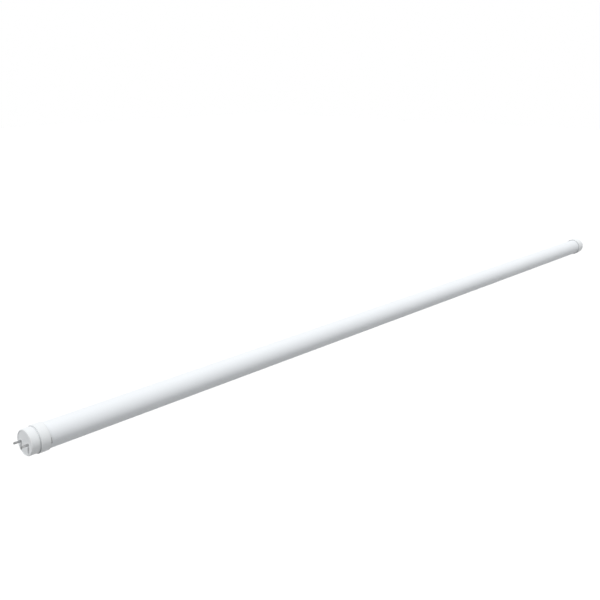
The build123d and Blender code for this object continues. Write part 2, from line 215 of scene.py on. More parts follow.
def withMetal(name, coat, findMetal):
    # a moulded or sleeved body whose leads, legs or end caps are tinned, told apart by their place
    finish, tree, shader = newFinish(name)
    grain = addNoise(tree, objectPlace(tree), coat["scale"])
    metal = findMetal(tree, splitAxes(tree))
    body = addRamp(tree, grain, coat["dark"], coat["pale"])
    tinTone = addRamp(tree, grain, tin["dark"], tin["pale"])
    bodyRough = spreadRough(tree, grain, coat["roughness"])
    toLeads = times(tree, metal, minus(tree, tin["leadRoughness"], bodyRough))
    rough = calc(tree, "ADD", bodyRough, toLeads)
    setCoat(tree, shader, mixColour(tree, metal, body, tinTone), rough)
    tree.links.new(metal, shader.inputs["Metallic"])
    addBump(tree, shader, grain, coat.get("depth", 0.02 * mm), strength=0.4)
    return finish


def dress(finish, *names):
    for name in names:
        nodes[name].material_slots[0].material = finish


def middleX(name):
    low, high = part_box(name)
    return (low.x + high.x) / 2


# camera, light and floor

view = {
    "eye": (-0.94977, -0.66202, 0.33643),
    "aim": (0.71510, 0.64444, -0.27079),
    "lens": 49.48,            # millimetres, as the sensor
    "sensor": 36.0,
    "nearest": 0.01,
    "furthest": 100.0,
}

studio = {
    "skyMiddle": 0.66,        # brightness of the surroundings, straight above
    "skySlope": 0.62,         # how much brighter they are towards the far end
    "sunStrength": 1.79,      # key light from above, ahead of the near end
    "sunSpread": 2.5,         # degrees
    "sunTowardsCamera": 8.5,  # degrees off the vertical, to the camera's side
    "sunTowardsNear": 41.0,   # degrees off the vertical, to the near end
    "floorDrop": 1.9,         # the lamp hangs this far over the floor
    "floorSize": 60.0,
    "floorColour": 0.98,
    "floorBounce": 0.28,      # what the floor gives back to the lamp
}


def placeCamera():
    data = bpy.data.cameras.new("photoCamera")
    data.sensor_width = view["sensor"]
    data.lens = view["lens"]
    data.clip_start = view["nearest"]
    data.clip_end = view["furthest"]
    camera = bpy.data.objects.new("photoCamera", data)
    camera.location = Vector(view["eye"])
    camera.rotation_euler = Vector(view["aim"]).to_track_quat("-Z", "Y").to_euler()
    bpy.context.collection.objects.link(camera)
    bpy.context.scene.camera = camera


def mixBySeen(tree, dim, seen, output):
    # camera, glossy and transmitted rays see the second shader, diffuse light comes from the first
    path = tree.nodes.new("ShaderNodeLightPath").outputs
    direct = calc(tree, "MAXIMUM", path["Is Camera Ray"], path["Is Glossy Ray"])
    anySeen = calc(tree, "MAXIMUM", direct, path["Is Transmission Ray"])
    mix = tree.nodes.new("ShaderNodeMixShader")
    for socket, source in zip(mix.inputs, (anySeen, dim.outputs[0], seen.outputs[0])):
        tree.links.new(source, socket)
    tree.links.new(mix.outputs[0], output.inputs["Surface"])


def lightStudio():
    scene = bpy.context.scene
    scene.view_settings.view_transform = "Standard"
    world = bpy.data.worlds.new("paleRoom")
    scene.world = world
    world.use_nodes = True
    tree = world.node_tree
    tree.nodes.clear()
    coords = tree.nodes.new("ShaderNodeTexCoord")
    axes = tree.nodes.new("ShaderNodeSeparateXYZ")
    tree.links.new(coords.outputs["Generated"], axes.inputs[0])
    darkest = studio["skyMiddle"] - studio["skySlope"]      # straight ahead of the near end
    brightest = studio["skyMiddle"] + studio["skySlope"]
    slope = addRange(tree, axes.outputs["X"], darkest, brightest, -1.0, 1.0)
    dim = tree.nodes.new("ShaderNodeBackground")
    white = tree.nodes.new("ShaderNodeBackground")
    for background in (dim, white):
        background.inputs["Color"].default_value = (1, 1, 1, 1)
    tree.links.new(slope, dim.inputs["Strength"])
    white.inputs["Strength"].default_value = 1.0
    mixBySeen(tree, dim, white, tree.nodes.new("ShaderNodeOutputWorld"))

    sun = bpy.data.lights.new("softKey", "SUN")
    sun.energy = studio["sunStrength"]
    sun.angle = math.radians(studio["sunSpread"])
    keyLight = bpy.data.objects.new("softKey", sun)
    towards = Vector((
        -math.tan(math.radians(studio["sunTowardsNear"])),
        -math.tan(math.radians(studio["sunTowardsCamera"])),
        1.0,
    ))
    keyLight.rotation_euler = towards.to_track_quat("Z", "Y").to_euler()
    bpy.context.collection.objects.link(keyLight)


def layFloor():
    half = studio["floorSize"] / 2
    z = cadBox[0][2] - studio["floorDrop"]
    corners = [(-half, -half, z), (half, -half, z), (half, half, z), (-half, half, z)]
    mesh = bpy.data.meshes.new("paleFloor")
    mesh.from_pydata(corners, [], [(0, 1, 2, 3)])
    floor = bpy.data.objects.new("paleFloor", mesh)
    bpy.context.collection.objects.link(floor)
    paint = bpy.data.materials.new("paleFloor")
    paint.use_nodes = True
    tree = paint.node_tree
    tree.nodes.clear()
    shades = []
    for shade in (studio["floorBounce"], studio["floorColour"]):
        matt = tree.nodes.new("ShaderNodeBsdfDiffuse")
        matt.inputs["Color"].default_value = (shade, shade, shade, 1)
        shades.append(matt)
    mixBySeen(tree, *shades, tree.nodes.new("ShaderNodeOutputMaterial"))
    mesh.materials.append(paint)


placeCamera()
lightStudio()
layFloor()
print("camera, light and floor set")


# the opal tube and its caps

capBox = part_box("far_end_cap")
lamp = {
    "halfLength": capBox[1].x,              # to the rim of a cap
    "capLength": capBox[1].x - capBox[0].x,
    "skirtRadius": capBox[1].z,
    "tubeRadius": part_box("diffuser_tube")[1].y,
    "pinLength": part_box("far_front_pin")[1].x - capBox[1].x,
    "noseLength": 10 * mm,
    "noseRadius": 13.2 * mm,
    "fieldRadius": 12.0 * mm,               # of the recess inside the rim
}


glass = {
    "dark": (0.858, 0.888, 0.917),
    "pale": (0.874, 0.904, 0.932),
    "specular": 0.14,
    "cloudScale": 9.0,
    "cloudStretch": (1, 6, 6),
    "roughness": (0.39, 0.49),
    "lineStretch": (2, 260, 260),           # faint lines left by drawing the tube
    "lineDepth": 0.02 * mm,
    "dustScale": 700.0,
    "dustFrom": (0.45, 0.75),               # the part of the noise that is dust
    "dustRoughness": (-0.02, 0.06),         # what it adds
}


def opalGlass():
    # cool white glass with an even coating inside
    finish, tree, shader = newFinish("opalGlass", specular=glass["specular"])
    cloud = addNoise(tree, objectPlace(tree, glass["cloudStretch"]), glass["cloudScale"])
    drawn = addNoise(tree, objectPlace(tree, glass["lineStretch"]), 1.0, detail=2.0)
    dustAndPaintedShade = addNoise(tree, objectPlace(tree), glass["dustScale"], detail=5.0, roughness=0.7)
    lines = addRange(tree, drawn, *glass["roughness"])
    dusty = addRange(tree, dustAndPaintedShade, *glass["dustRoughness"], *glass["dustFrom"])
    tone = addRamp(tree, cloud, glass["dark"], glass["pale"])
    setCoat(tree, shader, tone, calc(tree, "ADD", lines, dusty))
    addBump(tree, shader, drawn, glass["lineDepth"])
    return finish


# each ring of a cap is its radius, its depth from the rim, and its reach across and along
cap = {
    "dark": (0.850, 0.875, 0.893),
    "pale": (0.868, 0.892, 0.908),
    "specular": 0.35,
    "flowScale": 55.0,                      # slow change of tone in the moulding
    "grainScale": 2600.0,
    "grainDepth": 0.03 * mm,
    "roughness": (0.36, 0.50),
    "rubbed": (0.80, 0.81, 0.81),           # edges rubbed smooth by lamp holders
    "rubbedScale": 420.0,
    "rubbedFrom": (0.42, 0.62),
    "rubbedPolish": 0.12,
    "rimRing": (lamp["noseRadius"] - 0.3 * mm, 0.3 * mm, 0.6 * mm, 0.9 * mm),
    "stepRing": (lamp["skirtRadius"], lamp["noseLength"], 0.35 * mm, 0.5 * mm),
    # the colour of the painted shade in the groove, the recess's corner and at the skirt's end
    "dustAndPaintedShade": (0.50, 0.51, 0.515),
    # a painted shade line in the corner of the recess, under the rim
    "cornerRing": (lamp["fieldRadius"] - 0.25 * mm, 0.4 * mm, 0.6 * mm, 0.2 * mm),
    "cornerShade": 0.4,
    # painted shade in the groove in front of the skirt
    "grooveMiddle": lamp["noseLength"] - 0.45 * mm,
    "grooveReach": 0.75 * mm,
    "grooveTop": lamp["skirtRadius"] - 0.15 * mm,
    "grooveShade": (0.75, 0.95),
    "grooveFade": (0.78, 0.35),             # share of painted shade, from the axis up to the height where it is thinnest; heaviest low down, where shade falls
    "grooveFadeHeight": 9 * mm,
    "backReach": 0.4 * mm,                  # painted shade ring at the skirt's end, where the tube goes in
    "backDust": (0.45, 0.70),
}


def nearRing(tree, radius, depth, ring):
    atRadius, atDepth, across, along = ring
    nearRadius = nearEdge(tree, radius, atRadius, across)
    return times(tree, nearRadius, nearEdge(tree, depth, atDepth, along))


def paintCapShade(tree, axes, radius, depth, flow):
    # painted shade: in the groove, most of it low down, in the corner of the recess, and on the
    # skirt's end where the tube goes in
    inGroove = times(
        tree,
        nearEdge(tree, depth, cap["grooveMiddle"], cap["grooveReach"]),
        below(tree, radius, cap["grooveTop"]),
    )
    fade = addRange(tree, axes["Z"], *cap["grooveFade"], 0.0, cap["grooveFadeHeight"])
    shadedGroove = times(tree, addRange(tree, flow, *cap["grooveShade"]), fade)
    inCorner = times(tree, nearRing(tree, radius, depth, cap["cornerRing"]), cap["cornerShade"])
    atTube = times(
        tree,
        nearEdge(tree, depth, lamp["capLength"], cap["backReach"]),
        addRange(tree, flow, *cap["backDust"]),
    )
    inFront = calc(tree, "MAXIMUM", times(tree, inGroove, shadedGroove), inCorner)
    return calc(tree, "MAXIMUM", inFront, atTube)


def mouldedCap():
    # satin moulding with a slow change of tone and a fine mould grain
    finish, tree, shader = newFinish("mouldedCap", specular=cap["specular"])
    place = objectPlace(tree)
    axes = splitAxes(tree)
    depth = minus(tree, lamp["halfLength"], calc(tree, "ABSOLUTE", axes["X"]))
    radius = distanceFrom(tree, axes["Y"], axes["Z"])
    edges = calc(
        tree, "MAXIMUM",
        nearRing(tree, radius, depth, cap["rimRing"]),
        nearRing(tree, radius, depth, cap["stepRing"]),
    )
    patches = addNoise(tree, place, cap["rubbedScale"], detail=5.0, roughness=0.65)
    worn = times(tree, edges, addRange(tree, patches, 0.0, 1.0, *cap["rubbedFrom"]))
    flow = addNoise(tree, place, cap["flowScale"])
    tone = mixColour(tree, worn, addRamp(tree, flow, cap["dark"], cap["pale"]), cap["rubbed"])
    # painted shade in the groove, the recess's corner and at the skirt's end
    dustAndPaintedShade = paintCapShade(tree, axes, radius, depth, flow)
    grain = addNoise(tree, place, cap["grainScale"], detail=2.0)
    matt = addRange(tree, grain, *cap["roughness"])
    rough = minus(tree, matt, times(tree, worn, cap["rubbedPolish"]))
    setCoat(tree, shader, mixColour(tree, dustAndPaintedShade, tone, cap["dustAndPaintedShade"]), rough)
    addBump(tree, shader, grain, cap["grainDepth"], strength=0.4)
    return finish


pin = {
    "dark": (0.375, 0.38, 0.385),
    "pale": (0.49, 0.495, 0.50),
    "roughness": (0.46, 0.60),
    "tarnishScale": 420.0,
    "turnedScale": 900.0,                   # rings left by turning
    "turnedDepth": 0.02 * mm,
    "wiped": (0.61, 0.62, 0.62),            # a band wiped by the springs of lamp holders
    "wipedMiddle": 4.2 * mm,                # from the rim of the cap
    "wipedReach": 1.4 * mm,
    "wipedShare": 0.6,
    "wipedPolish": 0.08,
    "scratchScale": 900.0,
    "scratchStretch": (1, 6, 6),
    "scratchFrom": (0.45, 0.60),
    "tip": (0.125, 0.13, 0.134),            # darker towards its end
    "tipFrom": lamp["pinLength"] - 1.6 * mm,
    "tipTo": lamp["pinLength"] - 0.4 * mm,
    "tipPatches": (1.0, 0.55),
}


def platedPin():
    # dull nickel on a turned pin
    finish, tree, shader = newFinish("platedPin", metallic=1.0)
    place = objectPlace(tree)
    axes = splitAxes(tree)
    reach = minus(tree, calc(tree, "ABSOLUTE", axes["X"]), lamp["halfLength"])
    turned = tree.nodes.new("ShaderNodeTexWave")
    turned.wave_type = "BANDS"
    turned.bands_direction = "X"
    turned.inputs["Scale"].default_value = pin["turnedScale"]
    turned.inputs["Distortion"].default_value = 1.5
    tree.links.new(place, turned.inputs["Vector"])
    tarnish = addNoise(tree, place, pin["tarnishScale"])
    stretched = objectPlace(tree, pin["scratchStretch"])
    streaks = addNoise(tree, stretched, pin["scratchScale"], detail=3.0)
    scraped = addRange(tree, streaks, 0.0, 1.0, *pin["scratchFrom"])
    wiped = times(tree, nearEdge(tree, reach, pin["wipedMiddle"], pin["wipedReach"]), scraped)
    tip = times(
        tree,
        addRange(tree, reach, 0.0, 1.0, pin["tipFrom"], pin["tipTo"]),
        addRange(tree, tarnish, *pin["tipPatches"], start=0.35, end=0.65),
    )
    nickel = addRamp(tree, tarnish, pin["dark"], pin["pale"])
    brightened = mixColour(tree, times(tree, wiped, pin["wipedShare"]), nickel, pin["wiped"])
    dull = addRange(tree, tarnish, *pin["roughness"])
    rough = minus(tree, dull, times(tree, wiped, pin["wipedPolish"]))
    setCoat(tree, shader, mixColour(tree, tip, brightened, pin["tip"]), rough)
    addBump(tree, shader, turned.outputs["Fac"], pin["turnedDepth"], strength=0.35)
    return finish


# grey silicone for the cap's adhesive ring and the bead; the grey is painted shadow, set for the
# bead that stands in for the skirt's shadow on the tube
capSilicone = {
    "dark": (0.30, 0.305, 0.31),
    "pale": (0.37, 0.375, 0.38),
    "roughness": 0.5,
    "scale": 300.0,
}

shadowGreySilicone = speckled("shadowGreySilicone", capSilicone)
dress(opalGlass(), "diffuser_tube")
dress(mouldedCap(), "near_end_cap", "far_end_cap")
dress(platedPin(), "near_front_pin", "near_rear_pin", "far_front_pin", "far_rear_pin")
dress(shadowGreySilicone, "cap_adhesive")
print("tube, caps and pins finished")


# the light strip

lightStrip = {
    "pitch": 15 * mm,
    "ledLength": 3.5 * mm,
    "terminal": 0.45 * mm,                  # tinned end of each package
    "trackHalfWidth": 2.4 * mm,
    "trackGap": 0.8 * mm,                   # between the tracks, halfway from one LED to the next
    "dark": (0.86, 0.86, 0.84),
    "pale": (0.90, 0.90, 0.885),
    "offTrack": (0.82, 0.83, 0.80),         # mixed in where no track lies under the mask
    "offTrackShare": 0.5,
    "scale": 900.0,
    "roughness": (0.36, 0.48),
    "trackHeight": 0.03 * mm,
}
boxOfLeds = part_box("led_packages")
firstLed = boxOfLeds[0].x + lightStrip["ledLength"] / 2
lastLed = boxOfLeds[1].x - lightStrip["ledLength"] / 2


def whiteMask():
    # white solder mask, with the two wide tracks just raised under it
    finish, tree, shader = newFinish("whiteMask")
    axes = splitAxes(tree)
    grain = addNoise(tree, objectPlace(tree), lightStrip["scale"], detail=3.0)
    pitch = lightStrip["pitch"]
    offTrack = beyond(tree, axes["Y"], 0.0, lightStrip["trackHalfWidth"])
    gap = beyond(tree, axes["X"], firstLed, (pitch - lightStrip["trackGap"]) / 2, pitch)
    bare = calc(tree, "MAXIMUM", offTrack, gap)
    mask = addRamp(tree, grain, lightStrip["dark"], lightStrip["pale"])
    share = times(tree, bare, lightStrip["offTrackShare"])
    tone = mixColour(tree, share, mask, lightStrip["offTrack"])
    setCoat(tree, shader, tone, addRange(tree, grain, *lightStrip["roughness"]))
    addBump(tree, shader, minus(tree, 1.0, bare), lightStrip["trackHeight"])
    return finish


def ledTerminals(tree, axes):
    limit = lightStrip["ledLength"] / 2 - lightStrip["terminal"]
    return beyond(tree, axes["X"], firstLed, limit, lightStrip["pitch"])


ledBody = {
    "dark": (0.84, 0.84, 0.82),
    "pale": (0.90, 0.90, 0.89),
    "roughness": 0.38,
    "scale": 2500.0,
}
stripSilicone = {
    "dark": (0.82, 0.82, 0.80),
    "pale": (0.88, 0.88, 0.86),
    "roughness": 0.55,
    "scale": 260.0,
}
yellowPhosphor = {
    "dark": (0.82, 0.66, 0.20),
    "pale": (0.90, 0.76, 0.30),
    "roughness": 0.35,
    "scale": 3500.0,
    "depth": 0.01 * mm,
}

dress(whiteMask(), "led_board")
dress(withMetal("ledBody", ledBody, ledTerminals), "led_packages")
dress(speckled("whiteSilicone", stripSilicone), "led_board_adhesive")
phosphor = speckled("phosphor", yellowPhosphor)
print("light strip finished")


# the driver

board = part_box("driver_board")
driver = {
    "boardUnder": board[0].z,
    "seat": board[1].z + 0.3 * mm,          # components stand on this
    "fuseEnd": 1.7 * mm,                    # half the ceramic's width between the end caps
    "resistorEnd": 1.15 * mm,
    "resistorPitch": 8 * mm,
    "bodyHalfWidth": 1.95 * mm,             # of the bridge and the chip, whose legs lie beyond it
    "diodeTab": 0.15 * mm,                  # height of the tabs that touch the board
}


def leadsBelow(tree, axes):
    return below(tree, axes["Z"], driver["seat"])


def fuseEnds(tree, axes):
    return beyond(tree, axes["Y"], 0.0, driver["fuseEnd"])


def resistorEnds(tree, axes):
    middle = middleX("chip_resistors")
    return beyond(tree, axes["X"], middle, driver["resistorEnd"], driver["resistorPitch"])


def foldedLegs(tree, axes):
    return beyond(tree, axes["Y"], 0.0, driver["bodyHalfWidth"])


def diodeTabs(tree, axes):
    return above(tree, axes["Z"], driver["boardUnder"] - driver["diodeTab"])


boardCoat = {
    "cloth": 0.9 * mm,                      # width of a brick of the weave
    "clothTones": ((0.70, 0.60, 0.40), (0.63, 0.53, 0.34), (0.58, 0.49, 0.31)),
    "mask": (0.05, 0.26, 0.12),
    "maskHeight": 0.05 * mm,                # over the underside, where the laminate starts
    "track": (0.03, 0.17, 0.08),
    "trackScale": 190.0,
    "trackFrom": 0.42,                      # distance from a cell's middle where a track starts
    "trackHeight": 0.03 * mm,
    "roughness": (0.58, 0.34),              # above and below
}


def laminate():
    # pale laminate above, green mask with tracks below
    finish, tree, shader = newFinish("laminate")
    axes = splitAxes(tree)
    weave = tree.nodes.new("ShaderNodeTexBrick")
    weave.inputs["Scale"].default_value = 1 / boardCoat["cloth"]
    weave.inputs["Mortar Size"].default_value = 0.04
    for label, tone in zip(("Color1", "Color2", "Mortar"), boardCoat["clothTones"]):
        weave.inputs[label].default_value = (*tone, 1)
    tree.links.new(objectPlace(tree), weave.inputs["Vector"])
    cells = tree.nodes.new("ShaderNodeTexVoronoi")
    cells.distance = "CHEBYCHEV"
    cells.inputs["Scale"].default_value = boardCoat["trackScale"]
    tree.links.new(objectPlace(tree), cells.inputs["Vector"])
    tracks = above(tree, cells.outputs["Distance"], boardCoat["trackFrom"])
    green = mixColour(tree, tracks, boardCoat["mask"], boardCoat["track"])
    under = below(tree, axes["Z"], driver["boardUnder"] + boardCoat["maskHeight"])
    tone = mixColour(tree, under, weave.outputs["Color"], green)
    setCoat(tree, shader, tone, addRange(tree, under, *boardCoat["roughness"]))
    addBump(tree, shader, tracks, boardCoat["trackHeight"], strength=0.4)
    return finish


can = {
    "dark": (0.030, 0.038, 0.055),
    "pale": (0.048, 0.058, 0.080),
    "stripe": (0.55, 0.57, 0.60),
    "stripeWidth": 1.0 * mm,
    "scale": 600.0,
    "roughness": (0.26, 0.36),
    "sleeveLip": 0.9 * mm,                  # width of sleeve turned in over the top
    "topDepth": 0.1 * mm,
    "scoreHalfWidth": 0.12 * mm,            # of the cross pressed into the top
    "scoreDepth": 0.05 * mm,
}


def canFinish(name):
    # shrunk sleeve with one paler stripe, bare aluminium inside its top edge, tinned leads
    finish, tree, shader = newFinish(name + "Sleeve")
    low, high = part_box(name)
    axes = splitAxes(tree)
    grain = addNoise(tree, objectPlace(tree), can["scale"])
    stripe = times(
        tree,
        below(tree, axes["Y"], low.y + can["stripeWidth"]),
        above(tree, axes["Z"], driver["seat"]),
    )
    x = minus(tree, axes["X"], middleX(name))
    bareRadius = (high.y - low.y) / 2 - can["sleeveLip"]
    top = times(
        tree,
        above(tree, axes["Z"], high.z - can["topDepth"]),
        below(tree, distanceFrom(tree, x, axes["Y"]), bareRadius),
    )
    metal = calc(tree, "MAXIMUM", top, leadsBelow(tree, axes))
    sleeve = mixColour(tree, stripe, addRamp(tree, grain, can["dark"], can["pale"]), can["stripe"])
    tinTone = addRamp(tree, grain, tin["dark"], tin["pale"])
    rough = addRange(tree, grain, *can["roughness"])
    setCoat(tree, shader, mixColour(tree, metal, sleeve, tinTone), rough)
    tree.links.new(metal, shader.inputs["Metallic"])
    offAxis = calc(
        tree, "MINIMUM",
        calc(tree, "ABSOLUTE", x),
        calc(tree, "ABSOLUTE", axes["Y"]),
    )
    cross = times(tree, below(tree, offAxis, can["scoreHalfWidth"]), top)
    addBump(tree, shader, minus(tree, 1.0, cross), can["scoreDepth"], strength=0.6)
    return finish


film = {
    "dark": (0.80, 0.82, 0.84),
    "pale": (0.89, 0.90, 0.91),
    "wrinkleScale": 90.0,
    "wrinkleStretch": (1, 3, 3),
    "wrinkleDepth": 0.15 * mm,
    "roughness": (0.20, 0.34),
}


def shrunkFilm():
    # grey-white film drawn tight, with the wrinkles of its shrinking
    finish, tree, shader = newFinish("shrunkFilm")
    place = objectPlace(tree, film["wrinkleStretch"])
    wrinkle = addNoise(tree, place, film["wrinkleScale"], detail=3.0)
    tone = addRamp(tree, wrinkle, film["dark"], film["pale"])
    setCoat(tree, shader, tone, addRange(tree, wrinkle, *film["roughness"]))
    addBump(tree, shader, wrinkle, film["wrinkleDepth"])
    return finish


tape = {
    "dark": (0.76, 0.61, 0.10),
    "pale": (0.85, 0.71, 0.18),
    "edge": (0.58, 0.44, 0.08),
    "edgeShare": 0.06,
    "turn": 2.6 * mm,                       # from one edge of tape to the next
    "thickness": 0.05 * mm,
    "creaseScale": 350.0,
    "roughness": (0.22, 0.36),
}


def woundTape():
    # yellow polyester tape in overlapping turns round the winding's axis
    finish, tree, shader = newFinish("woundTape")
    axes = splitAxes(tree)
    turns = calc(tree, "FRACT", calc(tree, "DIVIDE", axes["X"], tape["turn"]))
    edge = below(tree, turns, tape["edgeShare"])
    creases = addNoise(tree, objectPlace(tree), tape["creaseScale"])
    tone = mixColour(tree, edge, addRamp(tree, creases, tape["dark"], tape["pale"]), tape["edge"])
    setCoat(tree, shader, tone, addRange(tree, creases, *tape["roughness"]))
    addBump(tree, shader, turns, tape["thickness"])
    return finish


brass = {
    "dark": (0.62, 0.47, 0.22),
    "pale": (0.80, 0.63, 0.33),
    "roughness": 0.32,
    "scale": 500.0,
    "metallic": 1.0,
}
copper = {
    "dark": (0.42, 0.14, 0.05),
    "pale": (0.60, 0.24, 0.09),
    "roughness": 0.3,
    "scale": 900.0,
    "metallic": 0.6,                        # enamelled
}
ferrite = {
    "dark": (0.05, 0.05, 0.055),
    "pale": (0.10, 0.10, 0.11),
    "roughness": 0.7,
    "scale": 1500.0,
}
nylon = {
    "dark": (0.025, 0.025, 0.027),
    "pale": (0.045, 0.045, 0.05),
    "roughness": 0.5,
    "scale": 1200.0,
}
ceramic = {
    "dark": (0.76, 0.74, 0.70),
    "pale": (0.85, 0.83, 0.79),
    "roughness": 0.4,
    "scale": 900.0,
}
filmBlock = {
    "dark": (0.40, 0.05, 0.03),
    "pale": (0.55, 0.10, 0.06),
    "roughness": 0.35,
    "scale": 300.0,
}
epoxy = {
    "dark": (0.020, 0.020, 0.022),
    "pale": (0.040, 0.040, 0.043),
    "roughness": 0.6,
    "scale": 2500.0,
}
glaze = {
    "dark": (0.015, 0.015, 0.018),
    "pale": (0.03, 0.03, 0.035),
    "roughness": 0.25,
    "scale": 2500.0,
}

tinned = speckled("tinned", tin)
copperWire = speckled("copperWire", copper)

dress(laminate(), "driver_board")
dress(shrunkFilm(), "driver_sleeve")
stampedBrass = speckled("stampedBrass", brass)
dress(stampedBrass, "live_terminal_tag", "neutral_terminal_tag", "far_pin_link")
dress(tinned, "output_header_pins", "inductor_pins")
dress(withMetal("fuseCeramic", ceramic, fuseEnds), "input_fuse")
dress(withMetal("filmBlock", filmBlock, leadsBelow), "film_capacitor")
dress(speckled("ferrite", ferrite), "filter_choke_core", "inductor_cores")
dress(copperWire, "filter_choke_winding")
dress(woundTape(), "inductor_winding")
dress(speckled("blackNylon", nylon), "inductor_bobbin")
for name in ("bulk_capacitor", "output_capacitor"):
    dress(canFinish(name), name)
dress(withMetal("packageEpoxy", epoxy, foldedLegs), "bridge_rectifier", "driver_chip")
dress(withMetal("diodeEpoxy", epoxy, diodeTabs), "freewheel_diode")
dress(withMetal("resistorGlaze", glaze, resistorEnds), "chip_resistors")
print("driver finished")


# pieces that Geometry Nodes repeat; the keys of their dictionaries are the inputs of their trees

def newTree(name, inputs):
    tree = bpy.data.node_groups.new(name, "GeometryNodeTree")
    for side in ("OUTPUT", "INPUT"):
        tree.interface.new_socket("Geometry", in_out=side, socket_type="NodeSocketGeometry")
    for label, value in inputs.items():
        kind = "NodeSocketInt" if isinstance(value, int) else "NodeSocketFloat"
        socket = tree.interface.new_socket(label, in_out="INPUT", socket_type=kind)
        socket.default_value = value
    return tree, tree.nodes.new("NodeGroupInput").outputs, tree.nodes.new("NodeGroupOutput")


def wire(tree, kind, links=None, values=None, mode=None):
    # a node with its links and plain values by socket name
    node = tree.nodes.new(kind)
    for setting, choice in (mode or {}).items():
        setattr(node, setting, choice)
    for label, value in (values or {}).items():
        node.inputs[label].default_value = value
    for label, source in (links or {}).items():
        tree.links.new(source, node.inputs[label])
    return node


def finishTree(tree, geometry, output, finish):
    real = wire(tree, "GeometryNodeRealizeInstances", {"Geometry": geometry}).outputs[0]
    painted = wire(tree, "GeometryNodeSetMaterial", {"Geometry": real}, {"Material": finish})
    tree.links.new(painted.outputs[0], output.inputs[0])


def growPiece(name, tree, inputs, points=()):
    mesh = bpy.data.meshes.new(name)
    mesh.from_pydata(list(points), [], [])
    piece = bpy.data.objects.new(name, mesh)
    bpy.context.collection.objects.link(piece)
    modifier = piece.modifiers.new(name, "NODES")
    modifier.node_group = tree
    for item in tree.interface.items_tree:
        if item.in_out == "INPUT" and item.name in inputs:
            modifier[item.identifier] = inputs[item.name]
    graph = bpy.context.evaluated_depsgraph_get()
    grown = bpy.data.meshes.new_from_object(piece.evaluated_get(graph))
    piece.modifiers.clear()
    piece.data = grown
    grown.name = name
    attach(piece, "root")
    return piece


ledWindow = {
    "Count": round((lastLed - firstLed) / lightStrip["pitch"]) + 1,
    "Pitch": lightStrip["pitch"],
    "Length": 2.5 * mm,
    "Width": 2.2 * mm,
    "Corner": 0.4 * mm,
    "Crown": 0.05 * mm,
}


def growLedWindows():
    # a shallow crowned window of phosphor on every package
    tree, size, output = newTree("ledWindows", ledWindow)
    outline = wire(
        tree, "GeometryNodeCurvePrimitiveQuadrilateral",
        {"Width": size["Length"], "Height": size["Width"]},
    )
    rounded = wire(
        tree, "GeometryNodeFilletCurve",
        {"Curve": outline.outputs[0], "Radius": size["Corner"]}, {"Count": 3}, {"mode": "POLY"},
    )
    curve = rounded.outputs[0]
    face = wire(tree, "GeometryNodeFillCurve", {"Curve": curve}, mode={"mode": "NGONS"}).outputs[0]
    under = wire(tree, "GeometryNodeFlipFaces", {"Mesh": face})
    raised = wire(
        tree, "GeometryNodeExtrudeMesh",
        {"Mesh": face, "Offset Scale": size["Crown"]}, {"Individual": False}, {"mode": "FACES"},
    )
    crowned = wire(
        tree, "GeometryNodeScaleElements",
        {"Geometry": raised.outputs["Mesh"], "Selection": raised.outputs["Top"]}, {"Scale": 0.9},
    )
    joined = wire(tree, "GeometryNodeJoinGeometry")
    for half in (under, crowned):
        tree.links.new(half.outputs[0], joined.inputs[0])
    closed = wire(
        tree, "GeometryNodeMergeByDistance",
        {"Geometry": joined.outputs[0]}, {"Distance": 0.001 * mm},
    )
    row = wire(
        tree, "GeometryNodeMeshLine",
        {
            "Count": size["Count"],
            "Offset": wire(tree, "ShaderNodeCombineXYZ", {"X": size["Pitch"]}).outputs[0],
        },
        {"Start Location": (firstLed, 0.0, boxOfLeds[1].z)},
    )
    placed = wire(
        tree, "GeometryNodeInstanceOnPoints",
        {"Points": row.outputs[0], "Instance": closed.outputs[0]},
    )
    finishTree(tree, placed.outputs[0], output, phosphor)
    return growPiece("ledWindows", tree, ledWindow)


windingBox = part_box("filter_choke_winding")
wireFit = {
    "margin": 0.18 * mm,      # from the winding's end to the middle of its outermost turn
    "proud": 0.06 * mm,       # from the winding's surface out to the middle of the wire
}
chokeWire = {
    "Turns": 13.5,
    "Radius": (windingBox[1].y - windingBox[0].y) / 2 + wireFit["proud"],
    "Height": windingBox[1].z - windingBox[0].z - 2 * wireFit["margin"],
    "WireRadius": 0.17 * mm,
}


def growChokeWire():
    # the outer layer of wire on the filter choke, one helix between the flanges
    tree, size, output = newTree("chokeWire", chokeWire)
    helix = wire(
        tree, "GeometryNodeCurveSpiral",
        {
            "Rotations": size["Turns"],
            "Start Radius": size["Radius"],
            "End Radius": size["Radius"],
            "Height": size["Height"],
        },
        {"Resolution": 32},
    )
    section = wire(
        tree, "GeometryNodeCurvePrimitiveCircle",
        {"Radius": size["WireRadius"]}, {"Resolution": 8}, {"mode": "RADIUS"},
    )
    turns = wire(
        tree, "GeometryNodeCurveToMesh",
        {"Curve": helix.outputs[0], "Profile Curve": section.outputs[0]}, {"Fill Caps": True},
    )
    start = (middleX("filter_choke_winding"), 0.0, windingBox[0].z + wireFit["margin"])
    placed = wire(
        tree, "GeometryNodeTransform", {"Geometry": turns.outputs[0]}, {"Translation": start}
    )
    finishTree(tree, placed.outputs[0], output, copperWire)
    return growPiece("chokeWire", tree, chokeWire)


solder = {
    "FootRadius": 0.95 * mm,
    "TipRadius": 0.36 * mm,
    "Height": 0.8 * mm,
    "Hollow": 1.3,            # how far the flanks are drawn in
}
leads = {
    "pieces": (
        "film_capacitor", "bulk_capacitor", "output_capacitor",
        "inductor_pins", "output_header_pins",
    ),
    "underBoard": 0.3 * mm,   # a lead is seen this far under the board
    "width": 1.2 * mm,        # points closer together belong to one lead
}


